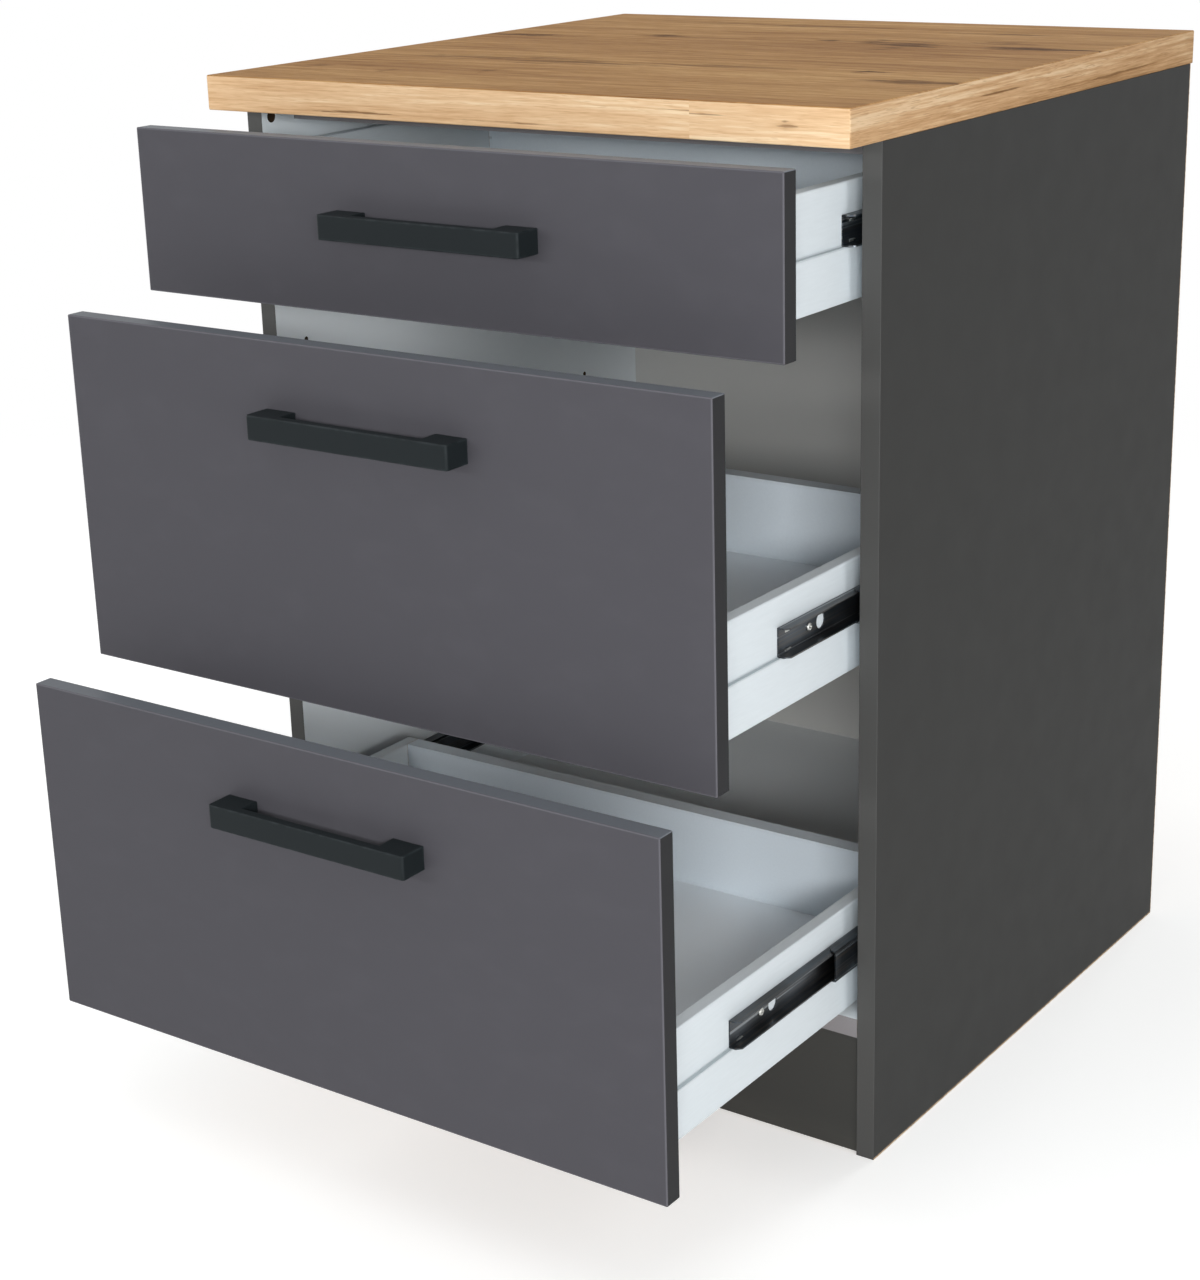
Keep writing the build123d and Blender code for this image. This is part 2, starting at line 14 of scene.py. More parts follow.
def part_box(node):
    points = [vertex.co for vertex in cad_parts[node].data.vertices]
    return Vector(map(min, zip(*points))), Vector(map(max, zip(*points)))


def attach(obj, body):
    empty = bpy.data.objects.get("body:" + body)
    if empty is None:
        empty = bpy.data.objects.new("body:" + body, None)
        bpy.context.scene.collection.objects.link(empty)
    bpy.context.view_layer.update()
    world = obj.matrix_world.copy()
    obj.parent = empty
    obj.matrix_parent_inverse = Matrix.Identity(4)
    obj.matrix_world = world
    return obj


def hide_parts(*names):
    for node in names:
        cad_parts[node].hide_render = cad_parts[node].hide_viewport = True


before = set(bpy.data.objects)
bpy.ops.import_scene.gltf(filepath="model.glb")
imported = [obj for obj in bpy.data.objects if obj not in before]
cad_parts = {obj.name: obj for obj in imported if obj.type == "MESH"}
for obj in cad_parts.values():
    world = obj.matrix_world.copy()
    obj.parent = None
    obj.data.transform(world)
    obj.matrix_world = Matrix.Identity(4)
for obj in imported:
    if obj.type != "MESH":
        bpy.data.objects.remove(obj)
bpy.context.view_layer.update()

DRAWERS = ("top", "middle", "bottom")
HANDS = {"left": -1, "right": 1}

# Places that the finishes need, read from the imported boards
PANEL_LOW, PANEL_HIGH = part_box("side_panel_right")
INNER = PANEL_LOW.x
OUTER = PANEL_HIGH.x
FRONT_EDGE = PANEL_LOW.y
REAR_EDGE = PANEL_HIGH.y

# Coatings, and the widths of what shows along edges
FOIL = 0.0003
EDGING = 0.0013
BROKEN_EDGE = 0.0008
CHIPPED_FOOT = 0.0016
CHIPPED_REAR = 0.0012
CHIP_WAVER = 0.0008
LIP_BLEND = 0.0004
SEAM = (0.0001, 0.0005)
# Width of the painted shadow line along the step on the drawer sides
STEP_SHADOW_WIDTH = 0.0022
RUBBED_FOIL = (0.0005, 0.004)
RUBBED_HANDLE = (0.0004, 0.0022)
SCUFFED_FOOT = 0.03

# Step along the outside of the drawer sides, on which the rails sit
STEP_HEIGHT = 0.040
STEP_DEPTH = 0.003

# Depths of the reliefs
BOARD_RELIEF = 0.00004
FRONT_RELIEF = 0.00003
OAK_RELIEF = 0.00014
FOIL_RELIEF = 0.00003
SCREEN_RELIEF = 0.0002
STEEL_RELIEF = 0.00005
PEEL_RELIEF = 0.00006
ZINC_RELIEF = 0.00003
BEECH_RELIEF = 0.0001

# Tones of the carcass boards, as sRGB codes; stops of a ramp have their place first
FLAKE_STOPS = ((0.0, "6a5540"), (0.25, "9f8568"), (0.7, "bda58a"), (1.0, "d3c0a6"))
PANEL_DARK = "313130"
PANEL_SCUFF = "3c3c3b"
PANEL_INSIDE = "e5ecf0"
# Front edging of the side boards: painted light, a tone lighter than the sides that makes up for the
# drawers' shade on it
PANEL_EDGE_PAINTED_LIGHT = "4f4f4e"
PANEL_BORE = "43362a"
INNER_BOARD = "e4e8ea"
INNER_EDGING = "838082"
PLINTH_DARK = "3e3e3c"
PLINTH_SCUFF = "5d5b56"

# Tones of the drawer fronts and boxes
FRONT_DARK = "4a494e"
FRONT_SMEAR = "504f54"
# Pale strip along a front's rim: the edging's lighter rounded lip with a painted highlight on it
FRONT_LIP_HIGHLIGHT = "66656b"
FRONT_SEAM = "343338"
FRONT_EDGING = "212123"
# Top edge of a front: a lighter, bluish tone as a painted sheen where the edge faces up
FRONT_TOP_SHEEN = "676b71"
# One white foil in two copies: painted light, the sides darker and the backs lighter inside the shaded
# drawers
SIDE_FOIL_PAINTED_DARKER = ("cdd4d8", "d6dde1")
BACK_FOIL_PAINTED_LIGHTER = ("dbe5ed", "e2ecf3")
# Painted shadow: grey line where the step's ledge lies in shade
FOIL_STEP_SHADOW = "98a2a6"
FOIL_RUB = "b9bfc2"
BASE_LACQUER = "e7eef3"
REAR_LACQUER = "c9c9c6"
FIBRE_STOPS = ((0.3, "6d4c31"), (0.5, "8b6544"), (0.7, "a57d57"))

# Tones of the worktop's oak, from its dark grain to its light grain
TOP_OAK = ("845b32", "a3784a", "b58a58", "caa16d")
FRONT_OAK = ("c59a6e", "dab48a", "e5c299", "f1d7b2")
SIDE_OAK = ("8f6b45", "b08a62", "c39e76", "d7ba96")
OAK_LEVELS = (0.36, 0.45, 0.53, 0.62)
CRACK_BROWN = "50300f"
HALO_BROWN = "8f6030"
UNDERSIDE_PAPER = "cfc9bf"
EDGING_JOINT = 0.1685

# Tones of the fittings
STEEL_TONES = ("272d33", "4d545b")
# Brown streaks in the runner steel: the zinc's tint and a painted warm reflection
STEEL_TINT_AND_REFLECTION = "6b5d4d"
STEEL_RUB = "a2a8ac"
HANDLE_BLACK = "1b2022"
HANDLE_WORN = "3c4245"
ZINC_TONES = ("a7a9a8", "dcdcd6")
BEECH_STOPS = ((0.3, "b78a5e"), (0.7, "d9b488"))
BEECH_RAY = "8f623c"

# Marks of the worktop's print: middle on the board, half length along the grain, half width, strength
TOP_MARKS = (
    ((0.125, 0.080), 0.085, 0.044, 0.90),
    ((0.085, 0.094), 0.034, 0.020, 0.95),
    ((0.240, 0.084), 0.085, 0.024, 1.00),
    ((0.200, 0.118), 0.060, 0.016, 0.70),
    ((0.045, 0.092), 0.022, 0.012, 0.90),
    ((-0.122, 0.088), 0.030, 0.022, 0.85),
    ((-0.110, 0.084), 0.100, 0.009, 0.60),
    ((-0.245, 0.058), 0.075, 0.013, 0.95),
    ((-0.110, -0.130), 0.220, 0.024, 0.55),
    ((0.060, -0.118), 0.120, 0.014, 0.45),
    ((0.196, -0.113), 0.026, 0.012, 0.90),
    ((0.262, -0.165), 0.060, 0.020, 0.75),
    ((-0.093, -0.210), 0.024, 0.018, 0.60),
    ((-0.178, -0.239), 0.022, 0.016, 0.55),
    ((-0.262, -0.225), 0.026, 0.018, 0.50),
    ((-0.060, 0.215), 0.160, 0.016, 0.50),
    ((0.160, 0.190), 0.070, 0.010, 0.55),
)
FRONT_MARKS = (
    ((-0.150, 0.8125), 0.110, 0.0013, 0.60),
    ((0.010, 0.8118), 0.080, 0.0010, 0.50),
    ((0.180, 0.8265), 0.100, 0.0008, 0.40),
    ((0.248, 0.8225), 0.012, 0.0045, 0.45),
)
SIDE_MARKS = (
    ((-0.100, 0.8230), 0.120, 0.0010, 0.60),
    ((0.120, 0.8160), 0.140, 0.0012, 0.50),
)

# Screws and cams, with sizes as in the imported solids
RAIL_STEEL = 0.0012
RAIL_SCREW = {"head": 0.0064, "height": 0.0016, "shank": 0.0035, "length": 0.011, "pitch": 0.0014}
HANDLE_SCREW = {"head": 0.008, "height": 0.0024, "shank": 0.004, "length": 0.025, "pitch": 0.0007}
WORKTOP_SCREW = {"head": 0.008, "height": 0.0024, "shank": 0.004, "length": 0.031, "pitch": 0.0018}
CAM_DIAMETER = 0.015
CAM_HEIGHT = 0.0125
BOTTOM_CAM_ROWS = (-0.225, 0.213)
RAIL_CAM_SHARE = 0.35
TURNED_COLUMNS = 48
SMOOTH_ANGLE = math.radians(35)

# Cross recesses: half width and reach as shares of the diameter, depth as a share of the height
RECESS_HALF_WIDTH = 0.055
SCREW_RECESS_REACH = 0.3
SCREW_RECESS_DEPTH = 0.7
CAM_RECESS_REACH = 0.26
CAM_RECESS_DEPTH = 0.25

# Stop lugs bent out of the drawer rails
LUG = {"width": 0.006, "thickness": 0.0009, "bend": 0.0010, "reach": 0.0018}
LUG_SETBACK = 0.012
LUG_INSET = 0.0042
LUG_COLUMNS = 20

# Camera, fitted to the corners of the cabinet in the photograph without lens shift
PICTURE_LONG_SIDE = 1280
SENSOR = 36.0
FOCAL_PIXELS = 2487.9
CAMERA_PLACE = (1.1522, -1.8224, 1.0400)
CAMERA_YAW = 0.62094
CAMERA_PITCH = 0.32601
CAMERA_ROLL = -0.0289

# Floor and sky
FLOOR_REACH = 12.0
FLOOR_LINES = 9
FLOOR_DROP = 0.0004
FLOOR_TONES = ("e6e6e4", "eaeae9")
FLOOR_GLOW = 0.40
FLOOR_NEAR = 1.1
FLOOR_FAR = 2.6
SKY = "f4f7fa"
AMBIENT = 0.30

# Soft lights: place, aim, width and height, and level
LAMPS = {
    "key_light": ((-0.9, -3.2, 1.35), (0.0, -0.3, 0.6), (1.8, 0.24), 0.22),
    "fill_light": ((2.1, -2.95, 1.30), (0.1, -0.2, 0.5), (1.1, 0.40), 0.56),
    "side_light": ((2.4, -1.42, 1.95), (0.1, -0.2, 0.4), (1.4, 1.4), 0.11),
    "low_side_light": ((2.8, -1.35, 0.45), (0.1, -0.2, 0.4), (0.8, 0.8), 0.17),
    "top_light": ((0.2, -1.2, 3.0), (0.0, -0.2, 0.4), (1.6, 1.6), 0.10),
    "left_light": ((-3.0, -0.5, 1.2), (0.0, -0.2, 0.45), (1.4, 1.0), 0.44),
    "rear_light": ((0.5, 2.9, 2.7), (0.0, 0.1, 0.45), (1.6, 1.6), 0.26),
}


def tone(code):
    """Linear colour of a six-digit sRGB code."""
    values = [int(code[i:i + 2], 16) / 255 for i in (0, 2, 4)]
    linear = [v / 12.92 if v <= 0.04045 else ((v + 0.055) / 1.055) ** 2.4 for v in values]
    return (*linear, 1.0)


class Wire:
    """An output in a node tree. Arithmetic on wires adds Math nodes to the same tree."""

    def __init__(self, nodes, socket):
        self.nodes = nodes
        self.socket = socket

    def math(self, operation, *terms):
        return self.nodes.node("ShaderNodeMath", {"operation": operation}, dict(enumerate(terms)))

    def __add__(self, other):
        return self.math("ADD", self, other)

    def __sub__(self, other):
        return self.math("SUBTRACT", self, other)

    def __rsub__(self, other):
        return self.math("SUBTRACT", other, self)

    def __mul__(self, other):
        return self.math("MULTIPLY", self, other)

    def __truediv__(self, other):
        return self.math("DIVIDE", self, other)

    def __rtruediv__(self, other):
        return self.math("DIVIDE", other, self)

    def __pow__(self, other):
        return self.math("POWER", self, other)

    def __rpow__(self, other):
        return self.math("POWER", other, self)

    def __abs__(self):
        return self.math("ABSOLUTE", self)

    def __lt__(self, other):
        return self.math("LESS_THAN", self, other)

    def __gt__(self, other):
        return self.math("GREATER_THAN", self, other)

    def least(self, other):
        return self.math("MINIMUM", self, other)

    def most(self, other):
        return self.math("MAXIMUM", self, other)

    def rise(self, low, high):
        """Goes smoothly from 0 at low to 1 at high."""
        return self.nodes.node("ShaderNodeMapRange", {"interpolation_type": "SMOOTHSTEP"},
                               {"Value": self, "From Min": low, "From Max": high})

    __radd__ = __add__
    __rmul__ = __mul__


class Nodes:
    """A node tree that is filled by one method."""

    def __init__(self, tree):
        self.tree = tree

    def node(self, kind, settings=None, sockets=None, out=0):
        """Adds a node: its settings first, then the values or links of its sockets."""
        node = self.tree.nodes.new(kind)
        for key, value in (settings or {}).items():
            if key == "stops":
                self.set_stops(node.color_ramp, value)
            else:
                setattr(node, key, value)
        self.plug(node, sockets or {})
        return Wire(self, self.find(node.outputs, out))

    def set_stops(self, ramp, stops):
        """Gives a colour ramp its places and colours."""
        while len(ramp.elements) < len(stops):
            ramp.elements.new(1.0)
        for element, (place, colour) in zip(ramp.elements, stops):
            element.position = place
            element.color = colour

    def find(self, sockets, key):
        """Finds a socket by its number, identifier or name."""
        if isinstance(key, int):
            return sockets[key]
        return next(s for s in sockets if key in (s.identifier, s.name))

    def plug(self, node, sockets):
        """Links wires into a node's sockets and writes plain values on them."""
        for key, value in sockets.items():
            socket = self.find(node.inputs, key)
            if isinstance(value, Wire):
                self.tree.links.new(value.socket, socket)
            else:
                socket.default_value = value

    def picture_rays(self):
        """1 for rays that show the background: camera, glossy and transmission rays."""
        camera, glossy, through = [self.node("ShaderNodeLightPath", out=f"Is {kind} Ray")
                                   for kind in ("Camera", "Glossy", "Transmission")]
        return camera.most(glossy).most(through)


class Finish(Nodes):
    """A material made of one Principled shader and the nodes that feed it."""

    def __init__(self, name):
        self.material = bpy.data.materials.new(name)
        self.material.use_nodes = True
        super().__init__(self.material.node_tree)
        self.shader = self.tree.nodes["Principled BSDF"]
        self.point = self.node("ShaderNodeTexCoord", out="Object")
        self.x, self.y, self.z = [self.node("ShaderNodeSeparateXYZ", {}, {0: self.point}, axis)
                                  for axis in "XYZ"]

    def surface(self, **sockets):
        """Feeds the shader; an underscore in a name stands for a space."""
        self.plug(self.shader, {key.replace("_", " "): value for key, value in sockets.items()})

    def mix(self, factor, first, second):
        """Blends two colours."""
        return self.node("ShaderNodeMix", {"data_type": "RGBA"},
                         {"Factor_Float": factor, "A_Color": first, "B_Color": second}, "Result_Color")

    def noise(self, where, scale, detail=2.0, rough=0.5):
        """Cloudy value around one half; scale counts its waves over a metre."""
        return self.node("ShaderNodeTexNoise", {},
                         {"Vector": where, "Scale": scale, "Detail": detail, "Roughness": rough}, "Fac")

    def stretched(self, along, across, up):
        """A place whose three coordinates are wires or numbers."""
        return self.node("ShaderNodeCombineXYZ", {}, {0: along, 1: across, 2: up})

    def ramp(self, value, stops):
        """Colour ramp through places and sRGB codes."""
        return self.node("ShaderNodeValToRGB", {"stops": [(place, tone(code)) for place, code in stops]},
                         {0: value})

    def bump(self, height, depth):
        """Normal of a relief whose height of 1 stands for a depth in metres."""
        return self.node("ShaderNodeBump", {}, {"Height": height, "Distance": depth})

    def depths(self, low, high):
        """Distances below the nearest face of a box across X, Y and Z."""
        return [(upper - lower) / 2 - abs(place - (lower + upper) / 2)
                for place, lower, upper in zip((self.x, self.y, self.z), low, high)]

    def arris(self, low, high):
        """Distance from the nearest edge of a box: the middle one of the three depths."""
        a, b, c = self.depths(low, high)
        return a + b + c - a.least(b).least(c) - a.most(b).most(c)


def chipboard(f):
    """Colour of raw chipboard: flakes of several tans, pressed flat, with dark gaps."""
    flakes = f.node("ShaderNodeTexVoronoi", {}, {"Vector": f.point, "Scale": 620.0}, "Color")
    shade = f.node("ShaderNodeSeparateColor", {}, {0: flakes})
    return f.ramp(shade, FLAKE_STOPS)


def speckled(f, code, amount):
    """A plain colour with faint clouds and a fine print grain."""
    colour = tone(code)
    darker, lighter = [(*(c * (1 + side * amount) for c in colour[:3]), 1.0) for side in (-1, 1)]
    return f.mix(f.noise(f.point, 5.0, 3.0) * 0.5 + f.noise(f.point, 1400.0, 1.0) * 0.5, darker, lighter)


def satin_relief(f, depth):
    """Pearl-like relief of a melamine face."""
    return f.bump(f.noise(f.point, 1500.0, 2.0) + f.noise(f.point, 320.0, 1.0) * 0.6, depth)


def side_panel_finish():
    """Side board: dark decor outside, a front edging whose tone is painted lighter than the sides as painted
    light, since the drawers shade it, light decor inside, brown in bores and grooves, and a ragged line of
    raw chipboard along foot and rear."""
    f = Finish("side_panel_decor")
    inward = abs(f.x) - INNER
    outward = OUTER - abs(f.x)
    forward = f.y - FRONT_EDGE
    edging = forward < FOIL
    ragged = (f.noise(f.point, 700.0, 2.0) - 0.5) * CHIP_WAVER
    chipped = (f.z + ragged < CHIPPED_FOOT).most(f.y + ragged > REAR_EDGE - CHIPPED_REAR) * (1 - edging)
    core = inward.least(outward).least(forward) > FOIL
    scuffs = f.noise(f.stretched(f.x, f.y * 4, f.z * 14), 5.0, 5.0, 0.6).rise(0.55, 0.8)
    board = f.mix(scuffs * 0.25, speckled(f, PANEL_DARK, 0.06), tone(PANEL_SCUFF))
    board = f.mix(inward < FOIL, board, speckled(f, PANEL_INSIDE, 0.02))
    # Front edging gets its lighter tone here: painted light on an edge that the drawers shade
    board = f.mix(edging, board, speckled(f, PANEL_EDGE_PAINTED_LIGHT, 0.05))
    board = f.mix(core, board, tone(PANEL_BORE))
    f.surface(Base_Color=f.mix(chipped, board, chipboard(f)),
              Roughness=0.46 + f.noise(f.point, 30.0, 3.0) * 0.12 + scuffs * 0.05 + core * 0.3,
              Normal=satin_relief(f, BOARD_RELIEF), Specular_IOR_Level=0.1)
    return f.material


def light_board_finish(name, low, high):
    """Inner board: light decor on both faces, a greyer front edging, raw chipboard in cuts and ends."""
    f = Finish(name)
    below_face = f.depths(low, high)[2]
    edging = f.y - low[1] < FOIL
    board = f.mix(edging, speckled(f, INNER_BOARD, 0.02), speckled(f, INNER_EDGING, 0.03))
    raw = (below_face > FOIL) * (1 - edging)
    f.surface(Base_Color=f.mix(raw, board, chipboard(f)),
              Roughness=0.5 + f.noise(f.point, 30.0, 3.0) * 0.1 + raw * 0.3,
              Normal=satin_relief(f, BOARD_RELIEF), Specular_IOR_Level=0.3)
    return f.material


def plinth_finish(low, high):
    """Toe board: dark decor on both faces, raw edges, dusty and scuffed towards the floor."""
    f = Finish("plinth_decor")
    raw = f.depths(low, high)[1] > FOIL
    foot = 1 - (f.z - low[2]).rise(0.0, SCUFFED_FOOT)
    scuff = foot * f.noise(f.stretched(f.x * 8, f.y, f.z * 60), 6.0, 4.0)
    board = f.mix(scuff * 0.3, speckled(f, PLINTH_DARK, 0.05), tone(PLINTH_SCUFF))
    f.surface(Base_Color=f.mix(raw, board, chipboard(f)),
              Roughness=0.5 + f.noise(f.point, 30.0, 3.0) * 0.12 + scuff * 0.2,
              Normal=satin_relief(f, BOARD_RELIEF), Specular_IOR_Level=0.1)
    return f.material


def front_finish(name, low, high):
    """Drawer front: satin decor, a pale strip along its rim for the edging's rounded lip, lightened as a
    painted highlight, dark edging, and a lighter top edge as a painted sheen.
    """
    f = Finish(name)
    across, _, up = f.depths(low, high)
    rim = across.least(up)
    face = (f.y < low[1] + BROKEN_EDGE).most(f.y > high[1] - BROKEN_EDGE / 2)
    # Painted highlight: a pale strip along the rim where the rounded lip catches light
    lip_highlight = (1 - rim.rise(EDGING, EDGING + LIP_BLEND)) * face
    seam = (1 - abs(rim - EDGING).rise(*SEAM)) * face
    edging = (rim < BROKEN_EDGE) * (1 - face)
    upper = f.z > high[2] - BROKEN_EDGE
    smears = f.noise(f.stretched(f.x * 3, f.y, f.z * 5), 9.0, 4.0)
    decor = f.mix(smears.rise(0.45, 0.75) * 0.3, speckled(f, FRONT_DARK, 0.03), tone(FRONT_SMEAR))
    decor = f.mix(lip_highlight * 0.6, decor, tone(FRONT_LIP_HIGHLIGHT))
    decor = f.mix(seam * 0.4, decor, tone(FRONT_SEAM))
    # Painted sheen: the upward-facing edging takes a lighter tone than the other edges
    strip = f.mix(upper, speckled(f, FRONT_EDGING, 0.05), speckled(f, FRONT_TOP_SHEEN, 0.05))
    f.surface(Base_Color=f.mix(edging, decor, strip), Roughness=0.42 + smears * 0.14 - edging * 0.06,
              Normal=satin_relief(f, FRONT_RELIEF), Specular_IOR_Level=0.1)
    return f.material


def oak_print(f, along, across, seed, fine, codes, marks):
    """Printed oak: wavering bands, streaks and fibres along the grain, short dark pores, dark cracks.

    The place across the grain is shifted by a slow noise, then three noises stretched along the
    grain are added up and sent through a ramp of oak tones. A mark is a spindle in the grain with a
    ragged outline: a soft brown halo, and dark cracks where one more noise and the spindle's own
    weight pass a level. Returns colour and relief.
    """
    slow = f.noise(f.stretched(along * 1.6, across * 4.0 * fine, seed), 1.0, 3.0)
    bent = across + (slow - 0.5) * (0.03 / fine)
    bands = f.noise(f.stretched(along * 1.5, bent * 13.0 * fine, seed), 1.0, 2.0)
    streaks = f.noise(f.stretched(along * 7.5, bent * 105.0 * fine, seed), 1.0, 4.0, 0.62)
    fibres = f.noise(f.stretched(along * 28.0, bent * 600.0, seed), 1.0, 3.0, 0.6)
    pores = f.noise(f.stretched(along * 70.0, bent * 1500.0, seed), 1.0, 1.0).rise(0.56, 0.70)
    grain = bands * 0.34 + streaks * 0.38 + fibres * 0.28
    colour = f.ramp(grain, zip(OAK_LEVELS, codes))
    colour = f.mix(pores * 0.4, colour, tone(codes[0]))
    ragged = f.noise(f.stretched(along * 9.0, bent * 130.0, seed), 1.0, 3.0, 0.6) - 0.5
    cracks = f.noise(f.stretched(along * 20.0, bent * 330.0, seed), 1.0, 4.0, 0.6)
    for middle, half_length, half_width, strength in marks:
        off = abs(along - middle[0]) / half_length + abs(bent - middle[1]) / half_width + ragged * 2.2
        spot = 1 - off.rise(0.0, 1.3)
        crack = (cracks + spot * 0.22).rise(0.61, 0.70) * spot.rise(0.05, 0.35)
        colour = f.mix(spot * (0.5 * strength), colour, tone(HALO_BROWN))
        colour = f.mix(crack * strength, colour, tone(CRACK_BROWN))
    return colour, fibres * 0.6 + streaks * 0.4 - pores * 0.8


def worktop_finish(low, high):
    """Worktop: oak print with cracks on top, lighter oak edging round it, paper below.

    Each print has its own seed. The front edging changes its seed at the joint of two strips.
    """
    f = Finish("oak_worktop")
    front_seed = (f.x > EDGING_JOINT) * 3.7 + 5.2
    top, top_relief = oak_print(f, f.x, f.y, 1.7, 1.0, TOP_OAK, TOP_MARKS)
    edge, edge_relief = oak_print(f, f.x, f.z, front_seed, 2.5, FRONT_OAK, FRONT_MARKS)
    side, side_relief = oak_print(f, f.y, f.z, 9.4, 3.0, SIDE_OAK, SIDE_MARKS)
    on_side = abs(f.x) > high[0] - BROKEN_EDGE
    on_top = f.z > high[2] - BROKEN_EDGE
    on_front = (f.y < low[1] + BROKEN_EDGE).most(f.y > high[1] - BROKEN_EDGE)
    below = (f.z < low[2] + BROKEN_EDGE) * (1 - on_side) * (1 - on_front)
    colour = f.mix(on_top, f.mix(on_side, edge, side), top)
    colour = f.mix(below, colour, speckled(f, UNDERSIDE_PAPER, 0.04))
    relief = top_relief * on_top + (edge_relief + side_relief) * (1 - on_top) * 0.5
    f.surface(Base_Color=colour, Roughness=0.72 - relief * 0.12,
              Normal=f.bump(relief, OAK_RELIEF), Specular_IOR_Level=0.08)
    return f.material


def drawer_foil_finish(name, low, high):
    """Drawer board: white foil with a faint pressed grain, a painted grey shadow line along the step, rubbed
    edges, raw ends. Boards that run from front to back are the sides; sides and backs take darker and
    lighter copies of one foil as painted light."""
    f = Finish(name)
    across, deep, _ = f.depths(low, high)
    is_side = high[1] - low[1] > high[0] - low[0]
    raw = (deep if is_side else across) < FOIL
    # Painted light: sides and backs take darker and lighter copies of the same foil
    shade, light = SIDE_FOIL_PAINTED_DARKER if is_side else BACK_FOIL_PAINTED_LIGHTER
    grain = f.noise(f.stretched(f.x * 40, f.y * 4, f.z * 40), 12.0, 3.0)
    foil = f.mix(grain, tone(shade), tone(light))
    outside = abs(f.x) > max(abs(low[0]), abs(high[0])) - STEP_DEPTH - FOIL
    # Painted shadow: a soft grey line at the step on the outside of the drawer sides
    step_shadow = (1 - abs(f.z - (low[2] + STEP_HEIGHT)).rise(0.0, STEP_SHADOW_WIDTH)) * outside
    foil = f.mix(step_shadow * 0.6, foil, tone(FOIL_STEP_SHADOW))
    rub = 1 - f.arris(low, high).rise(*RUBBED_FOIL)
    foil = f.mix(rub * f.noise(f.point, 90.0, 3.0) * 0.3, foil, tone(FOIL_RUB))
    f.surface(Base_Color=f.mix(raw, foil, chipboard(f)), Roughness=0.36 + grain * 0.12,
              Normal=f.bump(grain, FOIL_RELIEF), Specular_IOR_Level=0.35)
    return f.material


def hardboard_finish(name, lacquer, bare):
    """Thin panel: lacquer on one face, brown pressed fibre with a screen's print where bare says."""
    f = Finish(name)
    raw = bare(f)
    fibres = f.noise(f.point, 260.0, 5.0, 0.7)
    brown = f.ramp(fibres, FIBRE_STOPS)
    screen = f.node("ShaderNodeTexVoronoi", {}, {"Vector": f.point, "Scale": 700.0}, "Distance")
    f.surface(Base_Color=f.mix(raw, speckled(f, lacquer, 0.02), brown),
              Roughness=0.38 + raw * 0.4 + fibres * 0.08,
              Normal=f.bump(raw * screen + fibres * 0.15, SCREEN_RELIEF), Specular_IOR_Level=0.35)
    return f.material


def runner_steel_finish():
    """Dark zinc on rolled steel: brown streaks along the run, partly the zinc's tint and partly a painted
    warm reflection, an oily cloud and bright rubbed lines.
    """
    f = Finish("runner_steel")
    dark, light = [tone(code) for code in STEEL_TONES]
    streaks = f.noise(f.stretched(f.x * 900, f.y * 5, f.z * 900), 1.0, 3.0)
    clouds = f.noise(f.point, 22.0, 4.0)
    rubbed = f.noise(f.stretched(f.x * 400, f.y * 2, f.z * 400), 1.0, 2.0).rise(0.60, 0.72)
    steel = f.mix(clouds.rise(0.3, 0.7), dark, light)
    # Brown streaks along the run: zinc tint and painted reflection
    steel = f.mix(streaks.rise(0.45, 0.7) * 0.4, steel, tone(STEEL_TINT_AND_REFLECTION))
    steel = f.mix(rubbed * 0.6, steel, tone(STEEL_RUB))
    f.surface(Base_Color=steel, Metallic=0.9, Roughness=0.24 + clouds * 0.18 - rubbed * 0.06,
              Normal=f.bump(streaks, STEEL_RELIEF))
    return f.material


def handle_finish(name, low, high):
    """Matt black powder coat: fine orange peel, a little lighter where hands rub its edges."""
    f = Finish(name)
    edges = 1 - f.arris(low, high).rise(*RUBBED_HANDLE)
    worn = edges * f.noise(f.point, 120.0, 3.0).rise(0.35, 0.7)
    peel = f.noise(f.point, 900.0, 2.0)
    f.surface(Base_Color=f.mix(worn * 0.3, speckled(f, HANDLE_BLACK, 0.1), tone(HANDLE_WORN)),
              Roughness=0.44 + peel * 0.1 - worn * 0.08, Normal=f.bump(peel, PEEL_RELIEF),
              Specular_IOR_Level=0.1)
    return f.material


def zinc_finish():
    """Bright zinc on screws, cams and lugs: pale metal with dull clouds and turning marks."""
    f = Finish("bright_zinc")
    dull, bright = [tone(code) for code in ZINC_TONES]
    clouds = f.noise(f.point, 160.0, 4.0)
    marks = f.noise(f.point, 1500.0, 1.0)
    f.surface(Base_Color=f.mix(clouds, dull, bright), Metallic=1.0,
              Roughness=0.22 + clouds * 0.2, Normal=f.bump(marks, ZINC_RELIEF))
    return f.material


def beech_finish():
    """Beech dowels: pale pink wood with streaks and short rays."""
    f = Finish("beech_dowel")
    streaks = f.noise(f.stretched(f.x * 30, f.y * 600, f.z * 600), 1.0, 3.0)
    rays = f.noise(f.stretched(f.x * 300, f.y * 1500, f.z * 1500), 1.0, 1.0).rise(0.6, 0.72)
    wood = f.ramp(streaks, BEECH_STOPS)
    f.surface(Base_Color=f.mix(rays * 0.5, wood, tone(BEECH_RAY)), Roughness=0.6 + streaks * 0.1,
              Normal=f.bump(streaks, BEECH_RELIEF))
    return f.material


def dress(node, material):
    """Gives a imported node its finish."""
    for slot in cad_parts[node].material_slots:
        slot.material = material


